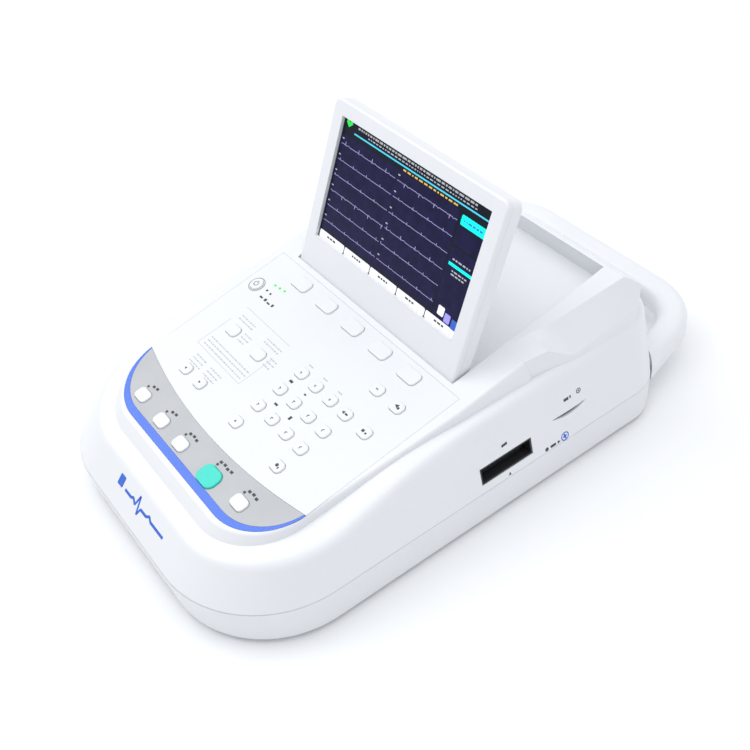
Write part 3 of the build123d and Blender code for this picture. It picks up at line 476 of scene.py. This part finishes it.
key_mark("power", ring(-89.4, -38.1, 1.7, 0.5, 20, 120, 300) + [bar(-89.4, -36.4, 0.55, 2.2)])

# ---------------------------------------------------------------- picture on the display
LOW = 22.8  # lower edge of the picture above the display's axis
TRACE_COLUMN = 62.6  # pitch of the two columns of traces
TRACE_ROW = 11.3
TRACE_STEPS = 360
TAB_PITCH = 31.2 * 0.965


def screen(u, v, h):
    return panel(u, LOW + v, SCREEN_N + h)


plate_object("screen_back", [bar(0, 44, 152.2, 87.8)], screen, 0.02, 0.06, "dark", "display")
plate_object("screen_waves_area", [bar(-12.6, 42.0, 125.0, 69.0)], screen, 0.06, 0.10, "navy", "display")
column = [bar(63.4, 30.0, 24.6, 48.0), bar(63.4, 61.5, 24.6, 12.0)]
plate_object("screen_column", column, screen, 0.06, 0.09, "navy", "display")


def beat(t, lead):
    """Height of one heart trace at a phase from 0 to 1."""
    sign = -1 if lead in (3, 6) else 1
    size = 0.75 + 0.25 * cos(2.1 * lead)
    wave = 0.35 * exp(-(((t - 0.18) / 0.030) ** 2))
    wave -= 0.30 * exp(-(((t - 0.288) / 0.010) ** 2))
    wave += 2.5 * exp(-(((t - 0.31) / 0.011) ** 2))
    wave -= 0.55 * exp(-(((t - 0.335) / 0.012) ** 2))
    wave += 0.60 * exp(-(((t - 0.55) / 0.050) ** 2))
    return sign * size * wave


traces = []
for column_at in (0, 1):
    for row in range(6):
        lead = column_at * 6 + row
        start_u = -74.0 + TRACE_COLUMN * column_at
        middle_v = 70.0 - TRACE_ROW * row
        points = []
        for i in range(TRACE_STEPS + 1):
            u = start_u + 60.6 * i / TRACE_STEPS
            phase = (4 * i / TRACE_STEPS + 0.13 * lead) % 1.0
            points.append((u, middle_v + beat(phase, lead)))
        traces += ribbon(points, 0.42)
plate_object("screen_traces", traces, screen, 0.10, 0.13, "trace", "display")
plate_object(
    "screen_lead_marks",
    [bar(-73 + TRACE_COLUMN * c, 73.6 - TRACE_ROW * r, 2.0, 0.8) for c in (0, 1) for r in range(6)], screen,
    0.10, 0.13, "ink_soft", "display",
)
header = [bar(6, 80.4, 138, 1.0)]
plate_object("screen_header_line", header, screen, 0.06, 0.12, "cyan", "display")
status = dashes(-60, 85.2, 124, 1, 2.0, 1.3, 1.2, 4.5, 1.0) + dashes(
    -48, 82.8, 112, 1, 2.0, 0.8, 0.8, 3.0, 1.2,
)
plate_object("screen_status", status, screen, 0.06, 0.10, "ink_soft", "display")
notes = dashes(-8, 78.2, 56, 1, 2.0, 1.1, 1.0, 4.0, 1.4)
plate_object("screen_notes", notes, screen, 0.10, 0.14, "amber", "display")
heart = [
    (-70, 82.4),
    (-66.6, 85.2),
    (-66.9, 86.6),
    (-68.2, 87.2),
    (-69.4, 86.6),
    (-70, 85.8),
    (-70.6, 86.6),
    (-71.8, 87.2),
    (-73.1, 86.6),
    (-73.4, 85.2),
]
plate_object("screen_pulse_icon", [heart], screen, 0.06, 0.14, "green", "display")
boxes = [rounded(63.6, 72.0, 22.5, 6.6, 1.0), bar(63.6, 43.0, 22.0, 2.0)]
plate_object("screen_boxes", boxes, screen, 0.10, 0.14, "turq", "display")
column_marks = dashes(55, 46.6, 18, 1, 2.0, 1.0) + dashes(57, 39.4, 14, 2, 2.2, 0.9)
plate_object("screen_column_marks", column_marks, screen, 0.10, 0.14, "ink_soft", "display")
plate_object(
    "screen_box_marks", dashes(55, 72.0, 17, 1, 2.0, 1.2), screen, 0.14, 0.17, "ink_blue",
    "display",
)
plate_object("screen_icon_left", [rounded(58.2, 11.6, 6.0, 6.4, 0.8)], screen, 0.10, 0.15, "tab", "display")
plate_object(
    "screen_icon_mid", [rounded(65.0, 9.6, 5.4, 6.0, 0.8)], screen, 0.10, 0.15, "violet", "display",
)
plate_object(
    "screen_icon_right", [rounded(71.8, 8.6, 5.0, 6.4, 0.8)], screen, 0.10, 0.15, "ink_blue",
    "display",
)
tabs = []
labels = []
for i in range(5):
    middle_u = TAB_PITCH * (i - 2)
    tabs.append(rounded(middle_u, 2.9, 29.3, 5.7, 1.2))
    labels += dashes(middle_u - 5.5, 3.2, 11, 1, 2.0, 1.3, 1.4, 3.2, 0.8)
plate_object("screen_tabs", tabs, screen, 0.06, 0.14, "tab", "display")
plate_object("screen_tab_marks", labels, screen, 0.14, 0.17, "ink", "display")

# ---------------------------------------------------------------- marks on the case
pulse_block = [rounded(-22.4, 44.0, 6.6, 5.8, 0.7)]
pulse = [
    (-15.5, 42.2), (-7.0, 42.2), (-4.6, 43.2), (-2.6, 42.2), (-0.8, 41.2), (1.6, 47.2), (4.4, 38.2),
    (6.4, 42.2), (14.0, 42.2), (17.0, 43.8), (20.0, 42.2), (36.5, 42.2),
]
plate_object("front_pulse_mark", pulse_block + ribbon(pulse, 1.5), front, -0.06, 0.08, "ink_blue", "case")
slot_icons = [rounded(51.0, 60.6, 4.2, 2.2, 0.4), bar(54.6, 60.8, 1.2, 2.2)]
slot_icons += ring(62.0, 61.4, 1.4, 0.6, 20) + [disc(62.0, 61.4, 0.7)]
plate_object("slot_icons", slot_icons, side, -0.05, 0.06, "ink", "case")
plate_object(
    "connector_icons", [bar(-2.7, 56.4, 4.6, 2.0, 0.1), arrow(-2.0, 30.9 + 1.5, 1.4, pi / 2)], side,
    -0.05, 0.06, "ink", "case",
)
lead_icons = [disc(30.0, 32.4, 1.5), rounded(35.6, 32.4, 5.0, 2.0, 0.8), arrow(40.6, 32.4, 1.5, 0)]
plate_object("lead_icons", lead_icons, side, -0.05, 0.06, "ink", "case")
plate_object(
    "safety_icon",
    ring(46.2, 33.6, 2.6, 0.8, 24) + [bar(46.2, 33.6, 1.2, 4.4, 0.3), bar(46.2, 33.6, 3.4, 1.2, 0.3)],
    side, -0.05, 0.06, "ink_blue", "case",
)

# ---------------------------------------------------------------- floor and light
floor_data = bpy.data.meshes.new("floor")
size = 6.0
floor_data.from_pydata(
    [(-size, -size, 0), (size, -size, 0), (size, size, 0), (-size, size, 0)], [], [(0, 1, 2, 3)],
)
floor = bpy.data.objects.new("floor", floor_data)
bpy.context.scene.collection.objects.link(floor)
floor_data.materials.append(
    material("pale_floor", (0.93, 0.93, 0.935), rough=0.7, bump=0.0, edge=0, shade=0.004, mottle=3),
)


def area_light(name, place, target, size_m, power, tint=(1, 1, 1)):
    data = bpy.data.lights.new(name, "AREA")
    data.shape = "RECTANGLE"
    data.size, data.size_y = size_m
    data.energy = power
    data.color = tint
    lamp = bpy.data.objects.new(name, data)
    lamp.location = place
    lamp.rotation_euler = (Vector(target) - Vector(place)).to_track_quat("-Z", "Y").to_euler()
    bpy.context.scene.collection.objects.link(lamp)


area_light("key_light", (-1.0, -0.7, 1.5), (0, 0, 0.05), (1.4, 1.4), 11.5)
area_light("top_light", (0.1, 0.3, 1.7), (0, 0, 0.05), (1.6, 1.6), 10.0)
area_light("side_light", (1.5, -0.5, 0.7), (0, 0, 0.05), (1.2, 1.0), 0.8, (0.92, 0.95, 1.0))
world = bpy.data.worlds.new("studio")
world.use_nodes = True
world.node_tree.nodes["Background"].inputs["Color"].default_value = (0.93, 0.96, 1.0, 1)
world.node_tree.nodes["Background"].inputs["Strength"].default_value = 0.76
bpy.context.scene.world = world
bpy.context.scene.view_settings.view_transform = "Standard"
